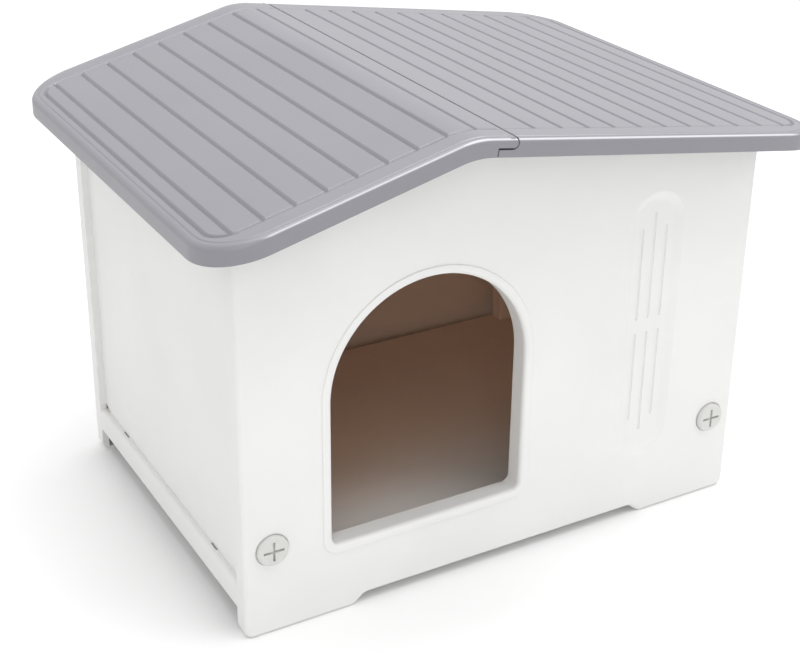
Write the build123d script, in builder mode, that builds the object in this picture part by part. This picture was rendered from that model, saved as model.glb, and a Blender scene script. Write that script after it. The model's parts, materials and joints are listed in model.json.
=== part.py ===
"""A plastic cat house: four clip-together wall panels on a floor tray, under a two-part planked roof.

Everything is in millimetres. X runs across the front from left to right, Y runs from front to back,
Z is up, and the origin lies on the ground below the middle of the roof.
"""
import os
from math import atan, cos, degrees, radians, sin, tan

from build123d import *

# Overall size
roof_width = 580.0
roof_depth = 450.0
house_height = 420.0

# Roof: the left slope is the steeper one, so the ridge stands left of the middle
left_pitch = radians(14.15)
right_pitch = radians(8.6)
ridge_radius = 70.0
fascia = 15.5
roof_skin = 3.0
roof_corner = 47.0
roof_edge_round = 5.0
rib_deep = 7.0
rib_thick = 2.0
rib_play = 0.6
rib_end_play = 4.0

# Planks on the roof, inside a shallow outline
eave_border = 13.0
end_border = 24.1
field_corner = 20.0
outline_wide = 2.2
outline_deep = 0.7
fixed_plank = 25.45
lid_plank = 26.1
left_first_groove = -59.6
left_groove_count = 9
right_first_groove = -5.6
right_groove_count = 11
groove_wide = 3.2
groove_deep = 1.6

# Seam between the fixed roof half and the lid, measured from the hinge line and along the lid's slope
seam_x = -41.0
hinge_depth = 4.0
lip_end = 5.2
lid_face = 5.7
lid_face_top = 5.0
ledge_top = 5.5
ledge_thick = 2.8
ledge_reach = 12.0
ledge_play = 1.0
seam_wall = 3.0
hook_play = 0.3
hook_thick = 2.6
hook_setback = 1.0
hook_length = 18.0
hook_count = 5
hook_span = 280.0
seam_notch = 16.0
seam_rib_stop = 24.0
lid_rest_play = 0.3

# Walls, seen from the front: the lid side overhangs a little more, as a grip
overhang_fixed = 34.0
overhang_lid = 42.0
wall_left = -roof_width / 2 + overhang_fixed
wall_right = roof_width / 2 - overhang_lid
house_middle = (wall_left + wall_right) / 2
half_house = (wall_right - wall_left) / 2
panel_face = 182.0
panel_depth = 17.0
panel_back = panel_face - panel_depth
skin = 2.5
panel_corner = 4.0
foot_corner = 8.0
foot_step_x = 146.0
foot_step_run = 16.0
foot_gap = 9.0

# Side walls, set in from the panels' edges and held in channels
side_thick = 3.0
side_inset = 6.5
channel_wall = 2.5
channel_depth = 11.0
channel_play = 0.3
channel_bottom = 106.0
channel_top = 346.0
side_cut_start = 152.0
side_cut_rise = 12.0

# Floor tray
floor_top = 44.0
floor_thick = 3.0
rail_top = 46.0
rail_bottom = 21.0
rail_width = 12.0
rail_round = 4.0
skirt_thick = 2.5
floor_rib_deep = 12.0
floor_rib_thick = 2.2
tab_y = 106.0
tab_length = 9.0
tab_depth = 7.0
tab_play = 1.5
post_width = 34.0
post_depth = 16.0
post_top = 99.0
post_wall = 3.0

# Screws through the panels into the posts of the tray
screw_z = 82.0
screw_inset = 25.5
screw_head = 30.0
screw_head_thick = 5.5
screw_head_slope = 1.4
screw_seat = 1.5
screw_seat_play = 1.6
screw_shank = 12.0
screw_length = 24.0
screw_play = 0.2
boss_wall = 3.5
cross_length = 19.5
cross_width = 2.2
cross_depth = 2.0

# Doorway, left of the middle
door_x = -83.3
door_half = 92.2
door_arch_z = 201.5
door_sill = 67.5
door_corner = 7.0
frame_band = 8.6
frame_corner = 15.0
frame_proud = 1.2
frame_slope = 0.8
jamb_slope = 1.6

# Blind oval relief with two sets of three grooves, right of the doorway
relief_x = 141.0
relief_half = 31.0
relief_low = 93.0
relief_high = 295.0
relief_depth = 3.0
relief_slope = 6.0
relief_backing = 3.0
flute_pitch = 12.7
flute_wide = 2.6
flute_deep = 1.0
flute_middle_z = 197.0
flute_gap = 13.0
flute_side_reach = 94.5
flute_middle_reach = 108.5

# The ridge is rounded, so its sharp corner would stand a little higher than the house
left_slope = tan(left_pitch)
right_slope = tan(right_pitch)
ridge_x = roof_width / 2 * (right_slope - left_slope) / (right_slope + left_slope)
ridge_sharpness = cos((left_pitch - right_pitch) / 2) / cos((left_pitch + right_pitch) / 2) - 1
ridge_top = house_height + ridge_radius * ridge_sharpness


def roof_top(x):
    """Height of the roof's top surface at x, before the ridge is rounded."""
    if x < ridge_x:
        return ridge_top - left_slope * (ridge_x - x)
    return ridge_top - right_slope * (x - ridge_x)


def wall_top(x):
    """Top of the walls at x: against the fixed half's skin, and just short of the lid's."""
    play = 0 if x < seam_x else lid_rest_play
    return roof_top(x) - roof_skin / cos(right_pitch) - play


def roof_layer(lowered, thickness):
    """Front view of a layer of the roof, from its top surface lowered by some distance."""
    top = [(x, roof_top(x) - lowered) for x in (-roof_width, ridge_x, roof_width)]
    bottom = [(x, z - thickness) for x, z in reversed(top)]
    Polygon(*top, *bottom, align=None)


def ridge_corners(sketch):
    """The sketch's corners that lie on the ridge, from the lowest up."""
    return sketch.vertices().filter_by(lambda v: abs(v.X - ridge_x) < 0.01).sort_by(Axis.Y)


# Outer shape of the whole roof: a gable-shaped layer cut to a rounded plan
with BuildPart() as roof_block:
    with BuildSketch(Plane.XZ) as roof_view:
        roof_layer(0, fascia)
        fillet(ridge_corners(roof_view), ridge_radius)
    extrude(amount=roof_depth / 2, both=True)
    with BuildSketch():
        RectangleRounded(roof_width, roof_depth, roof_corner)
    extrude(amount=2 * house_height, mode=Mode.INTERSECT)
    rim = roof_block.edges().filter_by(
        lambda e: e.center().Z > roof_top(e.center().X) - fascia / 4
        and (abs(e.center().Y) > roof_depth / 4 or abs(e.center().X) > roof_width / 2 - 1)
    )
    fillet(rim, roof_edge_round)

# The space under the roof's skin and inside its fascia
with BuildPart() as roof_hollow:
    with BuildSketch(Plane.XZ) as hollow_view:
        roof_layer(roof_skin / cos(right_pitch), house_height)
        fillet(ridge_corners(hollow_view)[-1], ridge_radius)
    extrude(amount=roof_depth / 2, both=True)
    with BuildSketch():
        RectangleRounded(roof_width - 2 * roof_skin, roof_depth - 2 * roof_skin, roof_corner - roof_skin)
    extrude(amount=2 * house_height, mode=Mode.INTERSECT)

# The shallow line round the planked field
field_width = roof_width - 2 * eave_border
field_depth = roof_depth - 2 * end_border
with BuildPart() as field_outline:
    with BuildSketch():
        RectangleRounded(field_width + outline_wide, field_depth + outline_wide, field_corner)
        RectangleRounded(
            field_width - outline_wide, field_depth - outline_wide, field_corner, mode=Mode.SUBTRACT
        )
    extrude(amount=2 * house_height)
    with BuildSketch(Plane.XZ) as step_view:
        roof_layer(outline_deep, house_height)
        fillet(ridge_corners(step_view)[-1], ridge_radius)
    extrude(amount=roof_depth, both=True, mode=Mode.SUBTRACT)

# V-grooves between the planks
left_grooves = [left_first_groove - n * fixed_plank for n in range(left_groove_count)]
right_grooves = [right_first_groove + n * lid_plank for n in range(right_groove_count)]
eave_grooves = [-field_width / 2, field_width / 2]
with BuildPart() as plank_grooves:
    for x in left_grooves + right_grooves + eave_grooves:
        pitch = -left_pitch if x < ridge_x else right_pitch
        shortening = field_corner if x in eave_grooves else 0
        across = Plane(origin=(x, 0, roof_top(x)), x_dir=(cos(pitch), 0, -sin(pitch)), z_dir=(0, -1, 0))
        with BuildSketch(across):
            Polygon(
                (-groove_wide / 2, groove_deep / 4),
                (groove_wide / 2, groove_deep / 4),
                (0, -groove_deep),
                align=None,
            )
        extrude(amount=field_depth / 2 - shortening, both=True)

with BuildPart() as roof_shell:
    add(roof_block.part)
    add(roof_hollow.part, mode=Mode.SUBTRACT)
    add(field_outline.part, mode=Mode.SUBTRACT)
    add(plank_grooves.part, mode=Mode.SUBTRACT)

# The hinge line runs from front to back inside the rounded lip of the fixed half
hinge_z = roof_top(seam_x) - hinge_depth / cos(right_pitch)
hinge_view = Plane(
    origin=(seam_x, 0, hinge_z), x_dir=(cos(right_pitch), 0, -sin(right_pitch)), z_dir=(0, -1, 0)
)
beyond = 2 * roof_width
lip_corner = (lip_end**2 - hinge_depth**2) ** 0.5
skin_under = hinge_depth - roof_skin
socket = (lid_face + ledge_top) / 2 * cos(radians(45))

# Rows of ribs under the roof grip the panels' top edges from both sides, and two more stiffen the middle
rib_rows = [
    -panel_face - rib_play - rib_thick / 2,
    -panel_back + rib_play + rib_thick / 2,
    -panel_back / 3,
    panel_back / 3,
    panel_back - rib_play - rib_thick / 2,
    panel_face + rib_play + rib_thick / 2,
]
side_inner_left = wall_left + side_inset + side_thick
side_inner_right = wall_right - side_inset - side_thick


def rib_outline(x_from, x_to):
    """Front view of one rib, hanging from the roof's skin."""
    roof_layer(roof_skin, rib_deep)
    with Locations(((x_from + x_to) / 2, house_height)):
        Rectangle(x_to - x_from, house_height, mode=Mode.INTERSECT)


# Fixed roof half, with the ridge. Its edge ends in a rounded lip, over a bead.
with BuildPart() as roof_fixed_half:
    add(roof_shell.part)
    with BuildSketch(hinge_view):
        with BuildLine():
            Polyline(
                (lip_corner, hinge_depth),
                (lip_corner, beyond),
                (-beyond, beyond),
                (-beyond, -beyond),
                (-ledge_reach - ledge_play, -beyond),
                (-ledge_reach - ledge_play, -hinge_depth),
                (lip_corner, -hinge_depth),
            )
            ThreePointArc((lip_corner, -hinge_depth), (lip_end, 0), (lip_corner, hinge_depth))
        make_face()
    extrude(amount=roof_depth, both=True, mode=Mode.INTERSECT)
    with BuildSketch(hinge_view):
        Circle(hinge_depth)
    extrude(amount=roof_depth / 2 - roof_skin, both=True)
    for y in rib_rows:
        with BuildSketch(Plane.XZ.offset(-y)):
            rib_outline(side_inner_left + rib_end_play, seam_x - seam_rib_stop)
        extrude(amount=rib_thick / 2, both=True)

# Opening lid. Its ledge passes under the lip as a gutter, and its hooks hold the bead.
with BuildPart() as roof_lid:
    add(roof_shell.part)
    with BuildSketch(hinge_view):
        with BuildLine():
            Polyline(
                (lid_face, 0),
                (lid_face_top, hinge_depth),
                (lid_face_top, beyond),
                (beyond, beyond),
                (beyond, -beyond),
                (-ledge_reach, -beyond),
                (-ledge_reach, -ledge_top),
                (0, -ledge_top),
            )
            ThreePointArc((0, -ledge_top), (socket, -socket), (lid_face, 0))
        make_face()
    extrude(amount=roof_depth, both=True, mode=Mode.INTERSECT)
    with BuildSketch(hinge_view):
        with BuildLine():
            Polyline(
                (lid_face, 0),
                (lid_face, skin_under),
                (lid_face + seam_wall, skin_under),
                (lid_face + seam_wall, -ledge_top - ledge_thick),
                (-ledge_reach, -ledge_top - ledge_thick),
                (-ledge_reach, -ledge_top),
                (0, -ledge_top),
            )
            ThreePointArc((0, -ledge_top), (socket, -socket), (lid_face, 0))
        make_face()
    extrude(amount=roof_depth / 2 - roof_skin, both=True)
    for n in range(hook_count):
        hook_y = -hook_span / 2 + n * hook_span / (hook_count - 1)
        with BuildSketch(hinge_view.offset(hook_y)):
            Circle(hinge_depth + hook_play + hook_thick)
            Circle(hinge_depth + hook_play, mode=Mode.SUBTRACT)
            with Locations((-hook_setback, 0)):
                Rectangle(ledge_reach, ledge_reach, align=(Align.MAX, Align.MAX), mode=Mode.INTERSECT)
        extrude(amount=hook_length / 2, both=True)
    for y in rib_rows:
        with BuildSketch(Plane.XZ.offset(-y)):
            rib_outline(seam_x + seam_rib_stop, side_inner_right - rib_end_play)
        extrude(amount=rib_thick / 2, both=True)


def panel_outline(shrink):
    """A gable panel's front view, smaller all round by some distance, on its two feet."""
    left = wall_left + shrink
    right = wall_right - shrink
    foot_outer = foot_step_x + foot_step_run / 2 + shrink
    foot_inner = foot_step_x - foot_step_run / 2 + shrink
    foot_middle = (foot_outer + foot_inner) / 2
    gap_top = foot_gap + shrink
    with BuildSketch() as outline:
        with BuildLine():
            Polyline(
                (house_middle + foot_outer, shrink),
                (right, shrink),
                (right, wall_top(right) - shrink),
                (seam_x, wall_top(seam_x) - shrink),
                (seam_x, wall_top(seam_x) + lid_rest_play - shrink),
                (ridge_x, wall_top(ridge_x) - shrink),
                (left, wall_top(left) - shrink),
                (left, shrink),
                (house_middle - foot_outer, shrink),
            )
            for side in (-1, 1):
                heel = (house_middle + side * foot_outer, shrink)
                bend = (house_middle + side * foot_middle, (shrink + gap_top) / 2)
                crest = (house_middle + side * foot_inner, gap_top)
                TangentArc(heel, bend, tangent=(-side, 0))
                TangentArc(crest, bend, tangent=(side, 0))
            Line((house_middle - foot_inner, gap_top), (house_middle + foot_inner, gap_top))
        make_face()
        fillet(ridge_corners(outline), ridge_radius)
    return outline.sketch


def doorway(grow, corner):
    """The arched doorway's front view, larger all round by some distance."""
    half = door_half + grow
    sill = door_sill - grow
    with BuildSketch() as opening:
        with BuildLine():
            CenterArc((door_x, door_arch_z), half, 0, 180)
            Polyline(
                (door_x - half, door_arch_z),
                (door_x - half, sill),
                (door_x + half, sill),
                (door_x + half, door_arch_z),
            )
        make_face()
        fillet(opening.vertices().group_by(Axis.Y)[0], corner)
    return opening.sketch


panel_front = Plane.XZ.offset(panel_face)
inside_skin = Plane.XZ.offset(panel_face - skin)
screw_points = [(house_middle + side * (half_house - screw_inset), screw_z) for side in (-1, 1)]
channel_x = half_house - side_inset - side_thick - channel_play - channel_wall / 2

# What the front and back panels share: an open-backed tray with channels, screw bosses and feet
with BuildPart() as gable_panel:
    with BuildSketch(panel_front):
        with Locations((house_middle, 0)):
            Rectangle(2 * half_house, house_height, align=(Align.CENTER, Align.MIN))
    extrude(amount=-panel_depth)
    front_edges = gable_panel.faces().sort_by(Axis.Y)[0].edges().filter_by(Axis.Z)
    fillet(front_edges, panel_corner)
    with BuildSketch(panel_front) as gable_view:
        add(panel_outline(0))
        heels = gable_view.vertices().group_by(Axis.Y)[0].sort_by(Axis.X)
        fillet([heels[0], heels[-1]], foot_corner)
    extrude(amount=-panel_depth, mode=Mode.INTERSECT)
    with BuildSketch(inside_skin):
        add(panel_outline(skin))
        with Locations((house_middle, house_height / 2)):
            Rectangle(2 * (half_house - side_inset), house_height, mode=Mode.INTERSECT)
    extrude(amount=-panel_depth, mode=Mode.SUBTRACT)
    with BuildSketch(inside_skin):
        with Locations(*[(house_middle + side * channel_x, channel_bottom) for side in (-1, 1)]):
            Rectangle(channel_wall, channel_top - channel_bottom, align=(Align.CENTER, Align.MIN))
    extrude(amount=-channel_depth)
    with BuildSketch(inside_skin):
        with Locations(*screw_points):
            Circle(screw_shank / 2 + screw_play + boss_wall)
    extrude(amount=skin - panel_depth)
    with Locations(*[panel_front * Pos(x, z, 0) for x, z in screw_points]):
        CounterBoreHole(
            screw_shank / 2 + screw_play, screw_head / 2 + screw_seat_play, screw_seat, depth=panel_depth
        )
    with BuildSketch(Plane.XZ):
        with Locations((seam_x, hinge_z)):
            Circle(seam_notch)
    extrude(amount=panel_face, both=True, mode=Mode.SUBTRACT)

# Front panel: the shared tray with the doorway, its proud frame and the relief
with BuildPart() as front_panel:
    add(gable_panel.part)
    with BuildSketch(panel_front.offset(frame_proud)):
        add(doorway(frame_band, frame_corner))
    extrude(amount=-frame_proud - skin / 2)
    frame_edges = front_panel.faces().sort_by(Axis.Y)[0].edges()
    chamfer(frame_edges, frame_slope)
    with BuildSketch(inside_skin):
        add(doorway(skin, door_corner + skin))
    extrude(amount=skin - panel_depth)
    with BuildSketch(panel_front.offset(frame_proud)):
        add(doorway(0, door_corner))
    extrude(amount=-2 * panel_depth, mode=Mode.SUBTRACT)
    jamb_edges = front_panel.faces().sort_by(Axis.Y)[0].inner_wires()[0].edges()
    chamfer(jamb_edges, jamb_slope)
    relief_middle = (relief_low + relief_high) / 2
    relief_long = relief_high - relief_low + 2 * relief_half
    with BuildSketch(inside_skin):
        with Locations((relief_x, relief_middle)):
            SlotOverall(relief_long, 2 * relief_half, rotation=90)
    extrude(amount=-relief_backing)
    with BuildSketch(panel_front):
        with Locations((relief_x, relief_middle)):
            SlotOverall(relief_long, 2 * relief_half, rotation=90)
    extrude(amount=-relief_depth, taper=degrees(atan(relief_slope / relief_depth)), mode=Mode.SUBTRACT)
    relief_floor = panel_front.offset(-relief_depth)
    with BuildSketch(relief_floor):
        for column, reach in ((-1, flute_side_reach), (0, flute_middle_reach), (1, flute_side_reach)):
            start = flute_gap / 2 - (flute_side_reach - reach) / 2 if column == 0 else flute_gap / 2
            length = reach - start
            for upward in (-1, 1):
                with Locations(
                    (relief_x + column * flute_pitch, flute_middle_z + upward * (start + length / 2))
                ):
                    SlotOverall(length, flute_wide, rotation=90)
    extrude(amount=-flute_deep, mode=Mode.SUBTRACT)

with BuildPart() as back_panel:
    add(gable_panel.part.mirror(Plane.XZ))


def side_wall(side, lowered):
    """Front view of a side wall, thin and tall, lower than the roof's slope by some distance."""
    outer = house_middle + side * (half_house - side_inset)
    inner = outer - side * side_thick
    Polygon(
        (outer, rail_top),
        (inner, rail_top),
        (inner, wall_top(inner) - lowered),
        (outer, wall_top(outer) - lowered),
        align=None,
    )


def wall_tabs(side):
    """Plan of the two tabs that hook a side wall into the tray's rail."""
    middle = house_middle + side * (half_house - side_inset - side_thick / 2)
    with Locations((middle, -tab_y), (middle, tab_y)):
        Rectangle(side_thick, tab_length)


# Side walls: plates that stand on the tray's rails, cut back at the rear bottom corner
side_walls = {}
for name, side in (("left_wall", -1), ("right_wall", 1)):
    with BuildPart() as side_walls[name]:
        with BuildSketch(Plane.XZ):
            side_wall(side, 0)
        extrude(amount=panel_back, both=True)
        with BuildSketch(Plane.XZ):
            side_wall(side, skin)
        extrude(amount=panel_face - skin, both=True)
        with BuildSketch(Plane.XY.offset(rail_top)):
            wall_tabs(side)
        extrude(amount=-tab_depth)
        with BuildSketch(Plane.YZ):
            Polygon(
                (side_cut_start, rail_top),
                (panel_face, rail_top),
                (panel_face, rail_top + side_cut_rise),
                align=None,
            )
        extrude(amount=roof_width, both=True, mode=Mode.SUBTRACT)

# Floor tray: raised floor, a rail along each side, ribs and a skirt below, and hollow corner posts
tray_width = 2 * (half_house - side_inset)
post_x = half_house - side_inset - side_thick - channel_play - post_width / 2
with BuildPart() as floor_tray:
    with BuildSketch(Plane.XY.offset(floor_top)):
        with Locations((house_middle, 0)):
            Rectangle(tray_width, 2 * panel_back)
    extrude(amount=-floor_thick)
    with BuildSketch(Plane.XY.offset(floor_top)):
        with Locations((house_middle, 0)):
            Rectangle(tray_width, 2 * panel_back)
            Rectangle(tray_width, 2 * (panel_back - skirt_thick), mode=Mode.SUBTRACT)
    extrude(amount=rail_bottom - floor_top)
    rib_lines = [panel_back * share for share in (-0.5, 0, 0.5)]
    with BuildSketch(Plane.XY.offset(floor_top)):
        for y in rib_lines:
            with Locations((house_middle, y)):
                Rectangle(tray_width, floor_rib_thick)
        for x in [tray_width * share for share in (-0.3, -0.1, 0.1, 0.3)]:
            with Locations((house_middle + x, 0)):
                Rectangle(floor_rib_thick, 2 * panel_back)
    extrude(amount=-floor_thick - floor_rib_deep)
    for side in (-1, 1):
        with BuildSketch(Plane.XZ) as rail_view:
            with Locations((house_middle + side * (half_house - rail_width / 2), (rail_top + rail_bottom) / 2)):
                Rectangle(rail_width, rail_top - rail_bottom)
            outside = rail_view.vertices().sort_by(lambda v: -side * v.X)[:2]
            fillet(outside, rail_round)
        extrude(amount=panel_back, both=True)
    with BuildSketch(Plane.XY.offset(rail_top)):
        for side in (-1, 1):
            middle = house_middle + side * (half_house - side_inset - side_thick / 2 + tab_play / 2)
            with Locations((middle, -tab_y), (middle, tab_y)):
                Rectangle(side_thick + tab_play, tab_length + 2 * tab_play)
    extrude(amount=-tab_depth, mode=Mode.SUBTRACT)
    post_back = panel_back - post_depth
    with BuildSketch(Plane.XY.offset(rail_bottom)):
        for side_x in (-1, 1):
            for side_y in (-1, 1):
                with Locations((house_middle + side_x * post_x, side_y * (panel_back - post_depth / 2))):
                    Rectangle(post_width, post_depth)
    extrude(amount=post_top - rail_bottom)
    post_edges = floor_tray.edges().filter_by(Axis.Z).filter_by(
        lambda e: abs(abs(e.center().Y) - post_back) < 0.1
        and e.center().Z > rail_top
        and abs(e.center().X - house_middle) < post_x
    )
    fillet(post_edges, post_wall)
    with BuildSketch(Plane.XY.offset(rail_bottom)):
        for side_x in (-1, 1):
            for side_y in (-1, 1):
                with Locations((house_middle + side_x * post_x, side_y * (panel_back - post_depth / 2))):
                    Rectangle(post_width - 2 * post_wall, post_depth - 2 * post_wall)
    extrude(amount=screw_z - screw_shank - rail_bottom, mode=Mode.SUBTRACT)
    for facing in (-1, 1):
        with BuildSketch(Plane.XZ.offset(-facing * panel_back)):
            with Locations(*screw_points):
                Circle(screw_shank / 2 + screw_play)
        extrude(amount=facing * (post_depth - post_wall), mode=Mode.SUBTRACT)

# One of four alike screws: a broad head with a cross slot, and a blunt shank
seat_face = panel_front.offset(-screw_seat)
with BuildPart() as screw:
    with BuildSketch(seat_face):
        Circle(screw_head / 2)
    extrude(amount=screw_head_thick)
    head_rim = screw.faces().sort_by(Axis.Y)[0].edges()
    chamfer(head_rim, screw_head_slope)
    with BuildSketch(seat_face):
        Circle(screw_shank / 2)
    extrude(amount=-screw_length)
    with BuildSketch(seat_face.offset(screw_head_thick)):
        Rectangle(cross_length, cross_width)
        Rectangle(cross_width, cross_length)
    extrude(amount=-cross_depth, mode=Mode.SUBTRACT)

with BuildPart() as front_screws:
    for x, z in screw_points:
        add(screw.part.moved(Location((x, 0, z))))

with BuildPart() as back_screws:
    add(front_screws.part.mirror(Plane.XZ))

pieces = {
    "front_panel": front_panel.part,
    "back_panel": back_panel.part,
    "left_wall": side_walls["left_wall"].part,
    "right_wall": side_walls["right_wall"].part,
    "floor_tray": floor_tray.part,
    "roof_fixed_half": roof_fixed_half.part,
    "roof_lid": roof_lid.part,
    "front_screws": front_screws.part,
    "back_screws": back_screws.part,
}
os.makedirs("parts", exist_ok=True)
for name, piece in pieces.items():
    piece.label = name
    export_step(piece, f"parts/{name}.step")
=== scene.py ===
"""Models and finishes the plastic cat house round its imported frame.

Lengths are in metres. X runs across the front from left to right, Y from front to back, Z is up.
"""

import json
from math import cos, pi, radians, sin, sqrt, tan

import bmesh
import bpy
from bpy.props import FloatProperty, FloatVectorProperty, IntProperty, PointerProperty
from mathutils import Matrix, Vector


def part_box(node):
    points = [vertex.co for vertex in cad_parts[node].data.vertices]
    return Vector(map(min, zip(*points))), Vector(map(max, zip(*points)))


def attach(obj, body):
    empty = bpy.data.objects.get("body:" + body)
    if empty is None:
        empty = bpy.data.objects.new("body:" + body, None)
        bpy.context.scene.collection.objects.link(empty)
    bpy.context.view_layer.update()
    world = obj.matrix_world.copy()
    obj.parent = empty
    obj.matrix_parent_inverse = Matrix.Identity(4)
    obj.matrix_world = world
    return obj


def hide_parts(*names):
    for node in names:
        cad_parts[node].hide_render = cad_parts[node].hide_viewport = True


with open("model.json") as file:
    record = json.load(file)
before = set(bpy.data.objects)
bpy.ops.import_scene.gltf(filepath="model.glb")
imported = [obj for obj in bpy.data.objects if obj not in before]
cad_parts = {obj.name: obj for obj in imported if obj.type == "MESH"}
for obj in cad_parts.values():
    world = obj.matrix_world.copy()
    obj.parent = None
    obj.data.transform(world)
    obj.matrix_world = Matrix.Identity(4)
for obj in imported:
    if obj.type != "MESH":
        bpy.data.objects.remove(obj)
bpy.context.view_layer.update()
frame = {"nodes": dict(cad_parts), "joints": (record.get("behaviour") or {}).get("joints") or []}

bl_info = {
    "name": "Cat house",
    "version": (1, 0, 0),
    "blender": (4, 5, 0),
    "location": "View3D > Sidebar > Cat house",
    "description": "Models a plastic cat house with a planked, opening roof",
    "category": "Object",
}

mm = 0.001

# The roof, with sizes and places from the frame
roof_low = Vector(map(min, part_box("roof_fixed_half")[0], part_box("roof_lid")[0]))
roof_high = Vector(map(max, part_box("roof_fixed_half")[1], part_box("roof_lid")[1]))
roof_half = (roof_high.x - roof_low.x) / 2
roof_end = (roof_high.y - roof_low.y) / 2
hinge_x, _, hinge_z = frame["joints"][0]["pos_m"]
left_pitch = radians(14.15)
right_pitch = radians(8.6)
left_slope = tan(left_pitch)
right_slope = tan(right_pitch)
hinge_depth = 4 * mm
ridge_x = roof_half * (right_slope - left_slope) / (right_slope + left_slope)
ridge_z = hinge_z + hinge_depth / cos(right_pitch) + right_slope * (hinge_x - ridge_x)
ridge_round = 70 * mm
ridge_bend = ridge_round * tan((left_pitch + right_pitch) / 2)
ridge_start = ridge_x - ridge_bend * cos(left_pitch)
ridge_stop = ridge_x + ridge_bend * cos(right_pitch)
ridge_steps = 10
roof_skin = 3 * mm
fascia = 15.5 * mm
roof_corner = 47 * mm
roof_corner_steps = 14
rim_steps = 6

# The planked field, its outline and the creases near the rim
field_x = roof_half - 13 * mm
field_y = roof_end - 24.1 * mm
field_corner = 20 * mm
field_corner_steps = 10
right_outline_start = 250 * mm
left_grooves = 9
right_grooves = 11
first_left_groove = -59.6 * mm
first_right_groove = -5.6 * mm
crease_inset = 2 * mm
crease_width = 2.4 * mm
crease_depth = 0.6 * mm
crease_overlap = 0.3 * mm
shallow_width = 1.8 * mm
shallow_depth = 0.45 * mm

# A groove's section: the brim of its tool, then shares of its half width and of its depth
groove_brim = ((0.5 * mm, 0.8 * mm), (0.25 * mm, 0.1 * mm))
groove_shares = ((0.8, 0.12), (0.52, 0.42), (0.26, 0.84))

# The seam, measured from the hinge line along and across the lid's slope, with angles in degrees
lip_end = 5.2 * mm
lip_corner = sqrt(lip_end**2 - hinge_depth**2)
lip_angle = 50.28
lip_steps = 12
bead_play = 0.02 * mm
lid_face = 5.7 * mm
lid_face_top = 5 * mm
ledge_top = 5.5 * mm
ledge_thick = 2.8 * mm
ledge_reach = 12 * mm
ledge_play = 1 * mm
ledge_steps = 8
seam_wall = 3 * mm
gutter_overlap = 0.5 * mm
gutter_grow = 0.04 * mm
seam_chamfer = ((2.6 * mm, 4.1 * mm), (5.75 * mm, 4.1 * mm), (4.9 * mm, 3.4 * mm), (3.95 * mm, 3.35 * mm))
end_gap_angle = 62
end_gap_inner = lip_end - 0.6 * mm
end_gap_outer = lip_end + 0.1 * mm
end_gap_depth = 5 * mm
hook_play = 0.3 * mm
hook_thick = 2.6 * mm
hook_start = 188.3
hook_stop = 261.7
hook_bore_stop = 256.5
hook_steps = 10
hook_length = 18 * mm
hook_span = 280 * mm
hook_count = 5

# The ribs under the roof
rib_deep = 7 * mm
rib_thick = 2 * mm
rib_gap = 0.6 * mm
rib_overlap = 0.6 * mm
rib_from_hinge = 24 * mm
rib_from_wall = 4 * mm
rib_steps = 24

# The panels
panel_low, panel_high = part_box("back_panel")
panel_face = panel_high.y
panel_back = panel_low.y
wall_left = panel_low.x
wall_right = panel_high.x
house_middle = (wall_left + wall_right) / 2
half_house = (wall_right - wall_left) / 2
skin = 2.5 * mm
lid_play = 0.3 * mm
gable_steps = 60
edges_round_below = 100 * mm
edge_steps = 5
foot_corner = 8 * mm
foot_corner_steps = 6
foot_step = 146 * mm
foot_step_run = 16 * mm
foot_gap = 9 * mm
foot_gap_steps = 10
side_inset = 6.5 * mm
side_thick = 3 * mm
channel_wall = 2.5 * mm
channel_depth = 11 * mm
channel_play = 0.3 * mm
channel_bottom = 106 * mm
channel_top = 346 * mm
seam_notch = 16 * mm

# The doorway
door_x = -83.3 * mm
door_half = 92.2 * mm
arch_z = 201.5 * mm
sill_z = 67.5 * mm
door_corner = 7 * mm
door_corner_steps = 8
jamb_round = 4.2 * mm
jamb_steps = 6
frame_round = 1.1 * mm
frame_steps = 4
door_grow = 1 * mm

# The relief and its grooves
relief_x = 141 * mm
relief_half = 31 * mm
relief_low = 93 * mm
relief_high = 295 * mm
oval_steps = 24
relief_backing = 3 * mm
relief_tool_thick = 3 * mm
relief_overlap = 0.06 * mm
relief_steps = 10
flute_radius = 1.5 * mm
flute_lift = 0.1 * mm
flute_pitch = 12.7 * mm
flute_middle = 197 * mm
flute_gap = 6.5 * mm
flute_side_reach = 94.5 * mm
flute_middle_reach = 108.5 * mm

# The screws
screw_low, screw_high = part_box("front_screws")
screw_z = (screw_low.z + screw_high.z) / 2
screw_head = (screw_high.z - screw_low.z) / 2
screw_rim = screw_head - 1 * mm
screw_front = screw_low.y
screw_tip = screw_high.y
screw_xs = (screw_low.x + screw_head, screw_high.x - screw_head)
screw_shank = 6 * mm
screw_head_thick = 5.5 * mm
seat_depth = 1.5 * mm
seat_play = 0.9 * mm
boss_radius = 9.7 * mm
bore_radius = 6.2 * mm

# How far tools run past what they cut, and a distance past every edge of the house
cut_through = 10 * mm
past_roof = 100 * mm
far = 1.2

# Distances below which two corners count as one, and the sharpest bend that is shaded smooth
same_corner = 0.01 * mm
same_drawn_corner = 0.001 * mm
no_length = 0.005 * mm
smooth_bend = radians(32)

# Sides of the round rods that show, and of the bead
fine_sides = 96
bead_sides = 48

# The plastics' finish
plastic_grain = 0.3
grain_height = 0.2 * mm
roof_roughness = 0.36
roof_gloss = 0.62
wall_roughness = 0.5
screw_roughness = 0.45

# The painted highlight on the roof's rim: the way that it faces and how nearly, its depth from the front, and
# its share elsewhere
rim_facing = (0, -0.7071, 0.7071)
rim_agreement = (0.95, 0.998)
rim_depth = 7 * mm
rim_fade = 1 * mm
rim_elsewhere = 0.12
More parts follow.
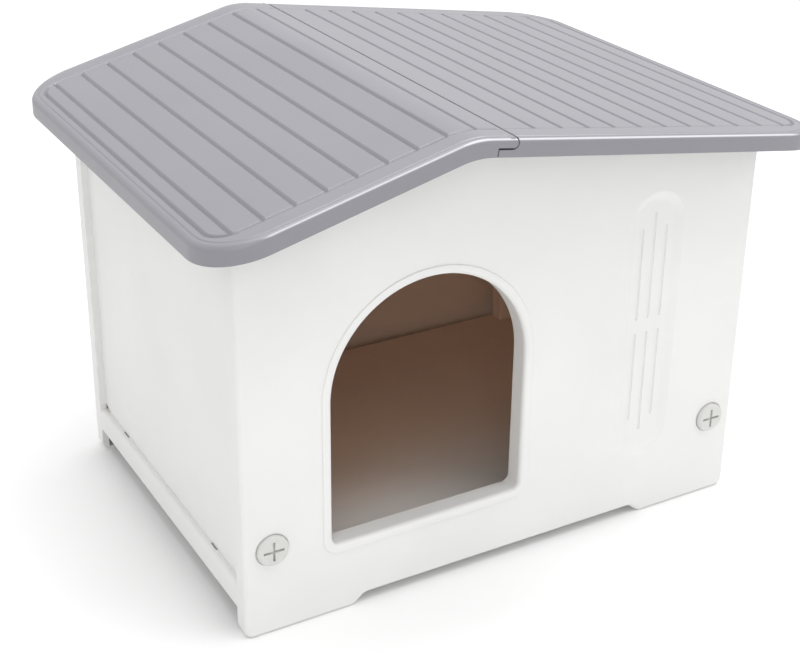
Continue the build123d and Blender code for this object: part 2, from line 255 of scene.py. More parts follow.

# Where the painted warm shade indoors starts and is full, along one axis
behind_front = ("Y", -165.6 * mm, -164.8 * mm)
before_back = ("Y", panel_face - 1.2 * mm, panel_face - 1.8 * mm)
# On the tray the painted shade comes in gradually from the doorway inwards: a painted falloff of the light
# through the door.
over_tray = ("Y", -165 * mm, 0)
between_walls = [("X", -248.4 * mm, -247.6 * mm), ("X", 240.4 * mm, 239.6 * mm)]
within_wall = {
    "left_wall": ("X", -248.2 * mm, -247.8 * mm),
    "right_wall": ("X", 240.2 * mm, 239.8 * mm),
}
above_feet = ("Z", 30 * mm, 32 * mm)
above_floor = ("Z", 42 * mm, 43.6 * mm)

# The floor, and each lamp's place, the place that it points at and its width
floor_size = 12
floor_fade_start = 1.5
floor_fade_end = 2.8
overhead_lamp = ((0.3, -0.1, 2.6), (0, 0, 0.3), 2.4)
right_lamp = ((2.5, -1.6, 1.9), (0, 0, 0.2), 1.5)
front_lamp = ((-1.9, -2.4, 1.3), (0, 0, 0.2), 1.8)

# The camera, solved from the edges of the house
camera_place = (-656.8 * mm, -1132 * mm, 802.1 * mm)
camera_turn = radians(29.74)
camera_tilt = radians(24.72)
camera_roll = radians(0.63)
camera_lens = 69
camera_shift = -0.0634
camera_near = 50 * mm


class RoofSettings(bpy.types.PropertyGroup):
    """What a user may change on the roof."""

    fixed_plank: FloatProperty(
        name="Fixed plank", description="Plank width on the fixed half", default=25.45 * mm, unit="LENGTH"
    )
    lid_plank: FloatProperty(
        name="Lid plank", description="Plank width on the lid", default=26.1 * mm, unit="LENGTH"
    )
    groove_width: FloatProperty(
        name="Groove width", description="Width of the plank grooves", default=4.9 * mm, unit="LENGTH"
    )
    groove_depth: FloatProperty(
        name="Groove depth", description="Depth of the plank grooves", default=2.3 * mm, unit="LENGTH"
    )
    rim_round: FloatProperty(
        name="Rim rounding", description="Rounding of the roof's rim", default=4.2 * mm, unit="LENGTH"
    )
    skin: FloatProperty(
        name="Skin", description="Thickness of the roof's skin", default=roof_skin, unit="LENGTH"
    )
    colour: FloatVectorProperty(
        name="Colour", description="Colour of the roof's plastic", default=(0.23, 0.228, 0.252),
        subtype="COLOR", min=0, max=1,
    )
    # A painted highlight: a lighter colour on the rim's rounding that stands in for a lamp's reflection.
    highlight_colour: FloatVectorProperty(
        name="Edge colour", description="Colour where the roof's rim is polished by use",
        default=(0.6, 0.6, 0.63), subtype="COLOR", min=0, max=1,
    )


class PanelSettings(bpy.types.PropertyGroup):
    """What a user may change on the panels."""

    edge_round: FloatProperty(
        name="Edge rounding", description="Rounding of the panels' front edges", default=3.6 * mm,
        unit="LENGTH",
    )
    frame_band: FloatProperty(
        name="Door frame", description="Width of the frame round the doorway", default=8.6 * mm,
        unit="LENGTH",
    )
    frame_proud: FloatProperty(
        name="Frame height", description="How far the door frame stands out", default=1.2 * mm,
        unit="LENGTH",
    )
    relief_depth: FloatProperty(
        name="Relief depth", description="Depth of the oval relief", default=3 * mm, unit="LENGTH"
    )
    relief_slope: FloatProperty(
        name="Relief slope", description="Width of the relief's soft edge", default=11 * mm, unit="LENGTH"
    )
    arch_steps: IntProperty(
        name="Arch steps", description="Steps round the doorway's arch", default=64, min=16, max=128
    )
    colour: FloatVectorProperty(
        name="Colour", description="Colour of the panels' plastic", default=(0.765, 0.765, 0.752),
        subtype="COLOR", min=0, max=1,
    )
    # Painted warm shade: the colour indoors stands in for dim, warm light come through the plastic.
    indoor_shade_colour: FloatVectorProperty(
        name="Inner colour", description="Colour of the panels' plastic indoors",
        default=(0.91, 0.67, 0.51), subtype="COLOR", min=0, max=1,
    )


class ScrewSettings(bpy.types.PropertyGroup):
    """What a user may change on the screws."""

    rim_round: FloatProperty(
        name="Rim rounding", description="Rounding of the screw head's rim", default=2.6 * mm,
        unit="LENGTH",
    )
    slot_width: FloatProperty(
        name="Slot width", description="Width of the cross slot", default=2.3 * mm, unit="LENGTH"
    )
    slot_length: FloatProperty(
        name="Slot length", description="Length of the cross slot", default=18.5 * mm, unit="LENGTH"
    )
    slot_depth: FloatProperty(
        name="Slot depth", description="Depth of the cross slot", default=2.8 * mm, unit="LENGTH"
    )
    colour: FloatVectorProperty(
        name="Colour", description="Colour of the screws' plastic", default=(0.62, 0.62, 0.6),
        subtype="COLOR", min=0, max=1,
    )


class StageSettings(bpy.types.PropertyGroup):
    """What a user may change on the floor and the lamps."""

    floor_colour: FloatVectorProperty(
        name="Floor colour", description="Colour of the floor", default=(0.92, 0.92, 0.92),
        subtype="COLOR", min=0, max=1,
    )
    sky: FloatProperty(
        name="Sky", description="Brightness of the even light all round", default=0.76, min=0, max=2
    )
    overhead: FloatProperty(
        name="Overhead lamp", description="Power of the wide lamp overhead", default=54, unit="POWER"
    )
    right: FloatProperty(
        name="Right lamp", description="Power of the high lamp on the right", default=9, unit="POWER"
    )
    front: FloatProperty(
        name="Front lamp", description="Power of the lamp at the front left", default=12.5, unit="POWER"
    )


def roof_line(x):
    """Height of the roof's top surface at x, with its rounded ridge."""
    if x < ridge_start:
        return ridge_z - left_slope * (ridge_x - x)
    if x > ridge_stop:
        return ridge_z - right_slope * (x - ridge_x)
    centre_x = ridge_start + ridge_round * sin(left_pitch)
    centre_z = ridge_z - left_slope * (ridge_x - ridge_start) - ridge_round * cos(left_pitch)
    return centre_z + sqrt(ridge_round**2 - (x - centre_x) ** 2)


def wall_line(x):
    """Top of the panels at x, just under the roof's skin."""
    play = lid_play if x >= hinge_x else 0
    return roof_line(x) - roof_skin / cos(right_pitch) - play


def focus(*pieces):
    """Select these pieces alone, the last one active."""
    if bpy.context.mode != "OBJECT":
        bpy.ops.object.mode_set(mode="OBJECT")
    bpy.ops.object.select_all(action="DESELECT")
    for piece in pieces:
        piece.select_set(True)
    bpy.context.view_layer.objects.active = pieces[-1]


def placed(name):
    """Name the piece just added, and put its place and size into its mesh."""
    piece = bpy.context.object
    piece.name = name
    piece.data.name = name
    bpy.ops.object.transform_apply(location=True, rotation=True, scale=True)
    return piece


def block(name, low, high):
    """A box between two opposite corners."""
    low = Vector(low)
    high = Vector(high)
    bpy.ops.mesh.primitive_cube_add(size=1, location=(low + high) / 2, scale=high - low)
    return placed(name)


def rod(name, radius, start, end, sides=64):
    """A round bar from one point to another."""
    start = Vector(start)
    end = Vector(end)
    turn = (end - start).to_track_quat("Z", "Y").to_euler()
    bpy.ops.mesh.primitive_cylinder_add(
        vertices=sides, radius=radius, depth=(end - start).length, location=(start + end) / 2, rotation=turn
    )
    return placed(name)


def choose(piece, kind, test):
    """Open the piece in edit mode and select the corners, edges or faces that pass the test."""
    focus(piece)
    bpy.ops.object.mode_set(mode="EDIT")
    bpy.ops.mesh.select_mode(type=kind)
    bpy.ops.mesh.select_all(action="DESELECT")
    mesh = bmesh.from_edit_mesh(piece.data)
    found = {"VERT": mesh.verts, "EDGE": mesh.edges, "FACE": mesh.faces}[kind]
    for item in found:
        if test(item):
            item.select_set(True)
    bmesh.update_edit_mesh(piece.data)


def close():
    """Leave edit mode."""
    bpy.ops.object.mode_set(mode="OBJECT")


def draw(name, points):
    """A flat face with these corners, drawn point by point and left open in edit mode."""
    points = [Vector(point) for point in points]
    bpy.ops.mesh.primitive_plane_add(size=1 * mm, location=points[0])
    piece = placed(name)
    focus(piece)
    bpy.ops.object.mode_set(mode="EDIT")
    bpy.ops.mesh.select_mode(type="VERT")
    bpy.ops.mesh.select_all(action="SELECT")
    bpy.ops.mesh.merge(type="CENTER")
    for here, there in zip(points, points[1:] + points[:1]):
        bpy.ops.mesh.extrude_vertices_move(TRANSFORM_OT_translate={"value": there - here})
    bpy.ops.mesh.select_all(action="SELECT")
    bpy.ops.mesh.remove_doubles(threshold=same_drawn_corner)
    bpy.ops.mesh.edge_face_add()
    bpy.ops.mesh.select_mode(type="FACE")
    return piece


def pull(move):
    """Extrude the selected face by a vector."""
    bpy.ops.mesh.extrude_region_move(TRANSFORM_OT_translate={"value": Vector(move)})


def outward():
    """Turn every face of the open piece outwards and leave edit mode."""
    bpy.ops.mesh.select_all(action="SELECT")
    bpy.ops.mesh.normals_make_consistent(inside=False)
    close()


def solid(name, outline, start, end):
    """A solid with this front view, from one depth to another."""
    piece = draw(name, [(x, start, z) for x, z in outline])
    pull((0, end - start, 0))
    outward()
    return piece


def combine(piece, tool, operation):
    """Cut, join or overlap the piece with a tool, which is used up."""
    step = piece.modifiers.new(operation, "BOOLEAN")
    step.operation = operation
    step.solver = "EXACT"
    step.object = tool
    focus(piece)
    bpy.ops.object.modifier_apply(modifier=step.name)
    bpy.data.objects.remove(tool)
    if not piece.data.polygons:
        raise RuntimeError(f"nothing is left of {piece.name} after {operation}")


def gather(tools):
    """Several tools as one object."""
    focus(*tools)
    bpy.ops.object.join()
    return bpy.context.object


def copy(piece, name):
    """A copy with a mesh of its own."""
    focus(piece)
    bpy.ops.object.duplicate()
    bpy.context.object.name = name
    bpy.context.object.data.name = name
    return bpy.context.object


def move_to_back(piece):
    """Mirror a piece from the front of the house to the back."""
    choose(piece, "VERT", lambda corner: True)
    bpy.ops.transform.mirror(constraint_axis=(False, True, False), center_override=(0, 0, 0))
    bpy.ops.mesh.flip_normals()
    close()


def round_edges(piece, test, width, steps):
    """Round the edges that pass the test."""
    choose(piece, "EDGE", test)
    bpy.ops.mesh.bevel(offset=width, segments=steps, affect="EDGES", clamp_overlap=True)
    close()


def finish_piece(piece, body, material, nodes=()):
    """Clean the mesh, smooth its gentle bends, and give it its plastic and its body."""
    focus(piece)
    bpy.ops.object.mode_set(mode="EDIT")
    bpy.ops.mesh.select_all(action="SELECT")
    bpy.ops.mesh.remove_doubles(threshold=same_corner)
    bpy.ops.mesh.dissolve_degenerate(threshold=no_length)
    close()
    bpy.ops.object.shade_smooth_by_angle(angle=smooth_bend)
    step = piece.modifiers.new("even_shading", "WEIGHTED_NORMAL")
    step.keep_sharp = True
    bpy.ops.object.modifier_apply(modifier=step.name)
    piece.data.materials.clear()
    piece.data.materials.append(material)
    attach(piece, body)
    if nodes:
        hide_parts(*nodes)


def add_node(tree, kind, **values):
    """A shader node with some of its settings and sockets set."""
    node = tree.nodes.new("ShaderNode" + kind)
    for key, value in values.items():
        if hasattr(node, key):
            setattr(node, key, value)
        else:
            node.inputs[key.replace("_", " ")].default_value = value
    return node


def feed(tree, value, socket):
    """Link an output to this socket, or set the socket to a plain value."""
    if isinstance(value, bpy.types.NodeSocket):
        tree.links.new(value, socket)
    else:
        socket.default_value = value


def multiplied(tree, first, second):
    """The product of two numbers."""
    node = add_node(tree, "Math", operation="MULTIPLY")
    feed(tree, first, node.inputs[0])
    feed(tree, second, node.inputs[1])
    return node.outputs["Value"]


def mixed(tree, share, first, second, blend_type="MIX"):
    """A colour mixed from two."""
    node = add_node(tree, "Mix", data_type="RGBA", blend_type=blend_type)
    feed(tree, share, node.inputs[0])
    feed(tree, first, node.inputs[6])
    feed(tree, second, node.inputs[7])
    return node.outputs[2]


def ramp(tree, value, **ends):
    """A number carried over from one range to another."""
    node = add_node(tree, "MapRange", **ends)
    tree.links.new(value, node.inputs["Value"])
    return node.outputs["Result"]


def soft_ramp(tree, value, start, end):
    """A share that goes softly from 0 to 1 between two values."""
    return ramp(tree, value, interpolation_type="SMOOTHSTEP", From_Min=start, From_Max=end)


def noise(tree, place, **pattern):
    """A soft random pattern."""
    node = add_node(tree, "TexNoise", **pattern)
    tree.links.new(place, node.inputs["Vector"])
    return node.outputs["Fac"]


def cloudy(tree, place, colour, darkest, lightest, **pattern):
    """A colour that a soft pattern darkens and lightens a little."""
    cloud = noise(tree, place, **pattern)
    shade = ramp(tree, cloud, From_Min=0.3, From_Max=0.7, To_Min=darkest, To_Max=lightest)
    return mixed(tree, 1.0, (*colour, 1), shade, "MULTIPLY")


def indoors(tree, place, limits):
    """How much of the painted indoor shade shows, from none at 0 to all at 1.

    Each limit is (axis, from, to): the painted shade comes in from the one place to the other.
    """
    split = add_node(tree, "SeparateXYZ")
    tree.links.new(place, split.inputs["Vector"])
    share = 1.0
    for axis, start, end in limits:
        share = multiplied(tree, share, soft_ramp(tree, split.outputs[axis], start, end))
    return share


def painted_rim_highlight(tree, coordinates):
    """How much of the painted highlight shows: on faces up and forward, most at the roof's front."""
    facing = add_node(tree, "VectorMath", operation="DOT_PRODUCT")
    tree.links.new(coordinates.outputs["Normal"], facing.inputs[0])
    facing.inputs[1].default_value = rim_facing
    highlight_share = soft_ramp(tree, facing.outputs["Value"], *rim_agreement)
    split = add_node(tree, "SeparateXYZ")
    tree.links.new(coordinates.outputs["Object"], split.inputs["Vector"])
    full = rim_depth - roof_end
    rim = ramp(tree, split.outputs["Y"], From_Min=full + rim_fade, From_Max=full, To_Min=rim_elsewhere)
    return multiplied(tree, highlight_share, rim)


def grained(tree, place):
    """The surface's slope under a fine grain and a broad unevenness."""
    height = add_node(tree, "Mix", data_type="FLOAT")
    height.inputs[0].default_value = 0.35
    tree.links.new(noise(tree, place, Scale=1400.0, Detail=2.0, Roughness=0.6), height.inputs[2])
    tree.links.new(noise(tree, place, Scale=60.0, Detail=2.0), height.inputs[3])
    bump = add_node(tree, "Bump", Strength=plastic_grain, Distance=grain_height)
    tree.links.new(height.outputs[0], bump.inputs["Height"])
    return bump.outputs["Normal"]


def moulded_plastic(name, colour, roughness, indoor_shade_colour=None, limits=(), gloss=0.5, highlight_colour=None):
    """Matte moulded plastic, which may have painted warm shade indoors, a painted highlight on its rim, or
    both.
    """
    material = bpy.data.materials.new(name)
    material.use_nodes = True
    tree = material.node_tree
    surface = tree.nodes["Principled BSDF"]
    surface.inputs["Roughness"].default_value = roughness
    surface.inputs["Specular IOR Level"].default_value = gloss
    coordinates = add_node(tree, "TexCoord")
    place = coordinates.outputs["Object"]
    painted = cloudy(tree, place, colour, 0.975, 1.02, Scale=9.0, Detail=3.0, Roughness=0.55)
    # Painted warm shade indoors, inside the limits.
    if indoor_shade_colour:
        painted = mixed(tree, indoors(tree, place, limits), painted, (*indoor_shade_colour, 1))
    # Painted highlight on the rim's rounding, on faces that turn up and forward.
    if highlight_colour:
        painted = mixed(tree, painted_rim_highlight(tree, coordinates), painted, (*highlight_colour, 1))
    tree.links.new(painted, surface.inputs["Base Color"])
    tree.links.new(grained(tree, place), surface.inputs["Normal"])
    return material


def wall_plastic(name, settings, limits):
    """The walls' white plastic, with painted warm shade inside the limits."""
    return moulded_plastic(name, settings.colour, wall_roughness, settings.indoor_shade_colour, limits)


def floor_paper(colour):
    """Plain matte paper with a faint mottle, which fades out away from the house."""
    material = bpy.data.materials.new("floor_paper")
    material.use_nodes = True
    tree = material.node_tree
    surface = tree.nodes["Principled BSDF"]
    surface.inputs["Roughness"].default_value = 0.9
    surface.inputs["Specular IOR Level"].default_value = 0.1
    place = add_node(tree, "TexCoord").outputs["Object"]
    painted = cloudy(tree, place, colour, 0.99, 1.01, Scale=3.0, Detail=4.0)
    tree.links.new(painted, surface.inputs["Base Color"])

    reach = add_node(tree, "VectorMath", operation="LENGTH")
    tree.links.new(place, reach.inputs[0])
    fade = soft_ramp(tree, reach.outputs["Value"], floor_fade_start, floor_fade_end)
    join = add_node(tree, "MixShader")
    tree.links.new(fade, join.inputs[0])
    tree.links.new(surface.outputs["BSDF"], join.inputs[1])
    tree.links.new(add_node(tree, "BsdfTransparent").outputs["BSDF"], join.inputs[2])
    tree.links.new(join.outputs["Shader"], tree.nodes["Material Output"].inputs["Surface"])
    return material


def white_surroundings(strength):
    """A world that lights evenly, and that the camera and reflections see as white."""
    world = bpy.data.worlds.new("white_surroundings")
    bpy.context.scene.world = world
    world.use_nodes = True
    tree = world.node_tree
    link = tree.links.new
    tree.nodes.clear()
    rays = add_node(tree, "LightPath")
    seen = rays.outputs["Is Camera Ray"]
    for kind in ("Is Glossy Ray", "Is Transmission Ray"):
        either = add_node(tree, "Math", operation="MAXIMUM")
        link(seen, either.inputs[0])
        link(rays.outputs[kind], either.inputs[1])
        seen = either.outputs["Value"]
    sky = add_node(tree, "Background")
    link(ramp(tree, seen, To_Min=strength, To_Max=1.0), sky.inputs["Strength"])
    sky.inputs["Color"].default_value = (1, 1, 1, 1)
    link(sky.outputs["Background"], add_node(tree, "OutputWorld").inputs["Surface"])


def soft_lamp(name, place, aim, width, power):
    """A wide square lamp pointed at a place."""
    turn = (Vector(aim) - Vector(place)).to_track_quat("-Z", "Y").to_euler()
    bpy.ops.object.light_add(type="AREA", location=place, rotation=turn)
    lamp = bpy.context.object
    lamp.name = name
    lamp.data.shape = "SQUARE"
    lamp.data.size = width
    lamp.data.energy = power


class CATHOUSE_OT_stage(bpy.types.Operator):
    """Set up the floor, the light and the camera"""

    bl_idname = "cat_house.stage"
    bl_label = "Floor, light and camera"

    def execute(self, context):
        settings = context.scene.cat_house_stage
        bpy.ops.mesh.primitive_plane_add(size=floor_size, location=(0, 0, 0))
        floor = placed("floor")
        bpy.ops.object.mode_set(mode="EDIT")
        bpy.ops.mesh.subdivide(number_cuts=3)
        close()
        floor.data.materials.append(floor_paper(settings.floor_colour))
        white_surroundings(settings.sky)
        soft_lamp("overhead_lamp", *overhead_lamp, settings.overhead)
        soft_lamp("right_lamp", *right_lamp, settings.right)
        soft_lamp("front_lamp", *front_lamp, settings.front)
        turned = Matrix.Rotation(-camera_turn, 4, "Z") @ Matrix.Rotation(pi / 2 - camera_tilt, 4, "X")
        turned = turned @ Matrix.Rotation(camera_roll, 4, "Z")
        bpy.ops.object.camera_add(location=camera_place, rotation=turned.to_euler())
        camera = context.object
        camera.name = "camera"
        camera.data.lens = camera_lens
        camera.data.shift_y = camera_shift
        camera.data.clip_start = camera_near
        context.scene.camera = camera
        context.scene.view_settings.view_transform = "Standard"
        return {"FINISHED"}


def bar_profile(width, depth):
    """Section of a tool that presses a soft-shouldered groove: (across, height) points."""
    half = width / 2
    shoulder = [(half + across, height) for across, height in groove_brim]
    shoulder += [(half * across, -depth * down) for across, down in groove_shares]
    return [(-across, height) for across, height in shoulder] + [(0, -depth)] + shoulder[::-1]


def plank_bar(x, settings):
    """The tool for one groove between two planks."""
    profile = bar_profile(settings.groove_width, settings.groove_depth)
    return solid("bar", [(x + across, height) for across, height in profile], -field_y, field_y)


def outline_tool(side, profile, reach_x, reach_y, corner, stop_x):
    """The tool for the line round the planked field on one side: front run, eave run, back run."""
    piece = draw("outline", [(side * stop_x, across - reach_y, height) for across, height in profile])
    pull((side * (reach_x - corner - stop_x), 0, 0))
    runs = ((-1, (0, 2 * (reach_y - corner), 0)), (1, (side * (stop_x + corner - reach_x), 0, 0)))
    for end, run in runs:
        centre = (side * (reach_x - corner), end * (reach_y - corner), 0)
        axis = (0, 0, -side)
        bpy.ops.mesh.spin(steps=field_corner_steps, dupli=False, angle=pi / 2, center=centre, axis=axis)
        pull(run)
    outward()
    return piece


def cut_columns(piece):
    """Divide the flat roof where its ridge will bend."""
    for step in range(ridge_steps + 1):
        x = ridge_start + (ridge_stop - ridge_start) * step / ridge_steps
        focus(piece)
        bpy.ops.object.mode_set(mode="EDIT")
        bpy.ops.mesh.select_all(action="SELECT")
        bpy.ops.mesh.bisect(plane_co=(x, 0, 0), plane_no=(1, 0, 0))
        close()


def drape(piece):
    """Bend the flat roof to its two slopes."""
    choose(piece, "VERT", lambda corner: True)
    mesh = bmesh.from_edit_mesh(piece.data)
    for corner in mesh.verts:
        corner.co.z += roof_line(corner.co.x)
    bmesh.update_edit_mesh(piece.data)
    close()


def planked_roof(settings):
    """The whole roof shell in one, before its seam is cut."""
    shell = block("roof", (-roof_half, -roof_end, -fascia), (roof_half, roof_end, 0))
    round_edges(
        shell,
        lambda edge: abs(edge.verts[0].co.z - edge.verts[1].co.z) > fascia / 2,
        roof_corner, roof_corner_steps,
    )
    round_edges(
        shell,
        lambda edge: all(corner.co.z > -mm for corner in edge.verts) and len(edge.link_faces) == 2
        and min(face.normal.z for face in edge.link_faces) < 0.5,
        settings.rim_round, rim_steps,
    )
    choose(shell, "FACE", lambda face: face.normal.z < -0.5)
    bpy.ops.mesh.inset(thickness=settings.skin)
    pull((0, 0, fascia - settings.skin))
    close()

    profile = bar_profile(settings.groove_width, settings.groove_depth)
    for side, stop in ((-1, -hinge_x), (1, right_outline_start)):
        ring = outline_tool(side, profile, field_x, field_y, field_corner, stop)
        combine(shell, ring, "DIFFERENCE")
    crease = bar_profile(crease_width, crease_depth)
    inset = settings.rim_round + crease_inset
    for side, stop in ((-1, -hinge_x - crease_overlap), (1, hinge_x)):
        ring = outline_tool(side, crease, roof_half - inset, roof_end - inset, roof_corner - inset, stop)
        combine(shell, ring, "DIFFERENCE")
    shallow = bar_profile(shallow_width, shallow_depth)
    for end in (-1, 1):
        piece = draw("shallow", [(hinge_x, end * field_y + across, height) for across, height in shallow])
        pull((right_outline_start + mm - hinge_x, 0, 0))
        outward()
        combine(shell, piece, "DIFFERENCE")
    grooves = [first_left_groove - n * settings.fixed_plank for n in range(left_grooves)]
    grooves += [first_right_groove + n * settings.lid_plank for n in range(right_grooves)]
    combine(shell, gather([plank_bar(x, settings) for x in grooves]), "DIFFERENCE")
    cut_columns(shell)
    drape(shell)
    return shell


def from_hinge(along, across):
    """A point of the front view, measured from the hinge line along and across the lid's slope."""
    x = hinge_x + along * cos(right_pitch) + across * sin(right_pitch)
    z = hinge_z - along * sin(right_pitch) + across * cos(right_pitch)
    return x, z


def arc(radius, start, end, steps, middle=(0, 0)):
    """Points on an arc, with angles in degrees from the first axis."""
    points = []
    for step in range(steps + 1):
        angle = radians(start + (end - start) * step / steps)
        points.append((middle[0] + radius * cos(angle), middle[1] + radius * sin(angle)))
    return points


def soften_seam(piece):
    """Chamfer the edges along the top of the seam."""
    outline = [from_hinge(along, across) for along, across in seam_chamfer]
    combine(piece, solid("chamfer", outline, -roof_end - mm, roof_end + mm), "DIFFERENCE")


def open_seam_ends(piece):
    """Widen the gap round the lip where the seam meets the front and the back."""
    ring = arc(end_gap_outer, -end_gap_angle, end_gap_angle, lip_steps)
    ring += arc(end_gap_inner, end_gap_angle, -end_gap_angle, lip_steps)
    outline = [from_hinge(along, across) for along, across in ring]
    for end in (-1, 1):
        tool = solid("gap", outline, end * (roof_end - end_gap_depth), end * (roof_end + mm))
        combine(piece, tool, "DIFFERENCE")


def rib(x_from, x_to, y):
    """One rib under the roof's skin."""
    inner = [x_from + (x_to - x_from) * step / rib_steps for step in range(rib_steps + 1)]
    top = [(x, roof_line(x) - roof_skin + rib_overlap) for x in inner]
    bottom = [(x, roof_line(x) - roof_skin - rib_deep) for x in reversed(inner)]
    return solid("rib", top + bottom, y - rib_thick / 2, y + rib_thick / 2)


def rib_rows():
    """Places of the ribs from front to back."""
    grip = rib_gap + rib_thick / 2
    outer = [panel_face + grip, panel_back - grip, panel_back / 3]
    return sorted([-y for y in outer] + outer)


def fixed_half(shell, settings, plastic):
    """Left slope and ridge: the shell up to its rounded lip, the hinge bead and the ribs."""
    lip = arc(lip_end, -lip_angle, lip_angle, lip_steps)
    region = [from_hinge(along, across) for along, across in [
        (lip_corner, far), (-far, far), (-far, -far), (-ledge_reach - ledge_play, -far),
        (-ledge_reach - ledge_play, -hinge_depth), *lip,
    ]]
    combine(shell, solid("region", region, -roof_end - past_roof, roof_end + past_roof), "INTERSECT")
    inner = roof_end - settings.skin / 2
    ends = (hinge_x, -inner, hinge_z), (hinge_x, inner, hinge_z)
    bead = rod("bead", hinge_depth - bead_play, *ends, bead_sides)
    combine(shell, bead, "UNION")
    left = wall_left + side_inset + side_thick + rib_from_wall
    ribs = [rib(left, hinge_x - rib_from_hinge, y) for y in rib_rows()]
    combine(shell, gather(ribs), "UNION")
    soften_seam(shell)
    open_seam_ends(shell)
    finish_piece(shell, "house", plastic, ("roof_fixed_half",))


def hook(y):
    """One hook of the lid, which snaps round the bead."""
    bore = hinge_depth + hook_play
    ring = arc(bore + hook_thick, hook_stop, hook_start, hook_steps)
    ring += arc(bore, hook_start, hook_bore_stop, hook_steps)
    outline = [from_hinge(along, across) for along, across in ring]
    return solid("hook", outline, y - hook_length / 2, y + hook_length / 2)


def gutter(settings):
    """The lid's wall and ledge, which pass under the fixed half's lip."""
    face = lid_face + gutter_grow
    top = ledge_top + gutter_grow
    foot = -ledge_top - ledge_thick
    under = hinge_depth - settings.skin + gutter_overlap
    cup = [(face * along, top * across) for along, across in arc(1, -90, 0, ledge_steps)]
    outline = [from_hinge(along, across) for along, across in [
        (face, under), (lid_face + seam_wall, under), (lid_face + seam_wall, foot),
        (-ledge_reach + gutter_grow, foot), (-ledge_reach + gutter_grow, -top), *cup,
    ]]
    inner = roof_end - settings.skin / 2
    return solid("gutter", outline, -inner, inner)


def opening_lid(shell, settings, plastic):
    """Right slope: the shell from its face, the gutter under the seam, the hooks and the ribs."""
    cup = [(lid_face * along, ledge_top * across) for along, across in arc(1, -90, 0, ledge_steps)]
    region = [from_hinge(along, across) for along, across in [
        (lid_face_top, hinge_depth), (lid_face_top, far), (far, far), (far, -far), (-ledge_reach, -far),
        (-ledge_reach, -ledge_top), *cup,
    ]]
    combine(shell, solid("region", region, -roof_end - past_roof, roof_end + past_roof), "INTERSECT")
    combine(shell, gutter(settings), "UNION")
    hooks = [hook(hook_span * (n / (hook_count - 1) - 0.5)) for n in range(hook_count)]
    combine(shell, gather(hooks), "UNION")
    right = wall_right - side_inset - side_thick - rib_from_wall
    ribs = [rib(hinge_x + rib_from_hinge, right, y) for y in rib_rows()]
    combine(shell, gather(ribs), "UNION")
    soften_seam(shell)
    finish_piece(shell, "lid", plastic, ("roof_lid",))


class CATHOUSE_OT_roof(bpy.types.Operator):
    """Model both halves of the planked roof"""

    bl_idname = "cat_house.roof"
    bl_label = "Roof halves"

    def execute(self, context):
        settings = context.scene.cat_house_roof
        plastic = moulded_plastic(
            "roof_plastic", settings.colour, roof_roughness,
            gloss=roof_gloss, highlight_colour=settings.highlight_colour,
        )
        shell = planked_roof(settings)
        other = copy(shell, "planked_lid")
        shell.name = "planked_fixed_half"
        fixed_half(shell, settings, plastic)
        opening_lid(other, settings, plastic)
        return {"FINISHED"}


def panel_outline(shrink):
    """A gable panel's front view, smaller all round by some distance, on its two feet."""
    left = wall_left + shrink
    right = wall_right - shrink
    points = []
    for n in range(gable_steps + 1):
        x = right + (left - right) * n / gable_steps
        points.append((x, wall_line(x) - shrink))
    heel = foot_corner - shrink
    points += arc(heel, 180, 270, foot_corner_steps, (left + heel, shrink + heel))
    for side in (-1, 1):
        for n in range(foot_gap_steps + 1):
            share = n / foot_gap_steps if side < 0 else 1 - n / foot_gap_steps
            reach = foot_step + foot_step_run / 2 + shrink - foot_step_run * share
            points.append((house_middle + side * reach, shrink + foot_gap * (1 - cos(pi * share)) / 2))
    points += arc(heel, 270, 360, foot_corner_steps, (right - heel, shrink + heel))
    return points


def gable_tray(name, settings):
    """What both panels share: an open-backed tray with feet, channels, bosses and screw seats."""
    tray = solid(name, panel_outline(0), -panel_face, -panel_back)
    round_edges(
        tray,
        lambda edge: all(corner.co.y < -panel_face + same_corner for corner in edge.verts)
        and min(corner.co.z for corner in edge.verts) < edges_round_below,
        settings.edge_round, edge_steps,
    )
    left = wall_left + side_inset
    right = wall_right - side_inset
    inside = -panel_face + skin
    cavity = [(min(max(x, left), right), z) for x, z in panel_outline(skin)]
    combine(tray, solid("cavity", cavity, inside, -panel_back + cut_through), "DIFFERENCE")
    for side in (-1, 1):
        x = house_middle + side * (half_house - side_inset - side_thick - channel_play - channel_wall / 2)
        wall = block(
            "channel", (x - channel_wall / 2, inside - mm, channel_bottom),
            (x + channel_wall / 2, inside + channel_depth, channel_top),
        )
        combine(tray, wall, "UNION")
    for x in screw_xs:
        combine(tray, rod("boss", boss_radius, (x, inside - mm, screw_z), (x, -panel_back, screw_z)), "UNION")
    for x in screw_xs:
        bore = rod("bore", bore_radius, (x, -panel_face - mm, screw_z), (x, -panel_back + mm, screw_z))
        combine(tray, bore, "DIFFERENCE")
        seat = rod(
            "seat", screw_rim + seat_play, (x, -panel_face - mm, screw_z),
            (x, -panel_face + seat_depth, screw_z), fine_sides,
        )
        combine(tray, seat, "DIFFERENCE")
    notch = rod(
        "notch", seam_notch, (hinge_x, -panel_face - cut_through, hinge_z),
        (hinge_x, -panel_back + cut_through, hinge_z), fine_sides,
    )
    combine(tray, notch, "DIFFERENCE")
    return tray


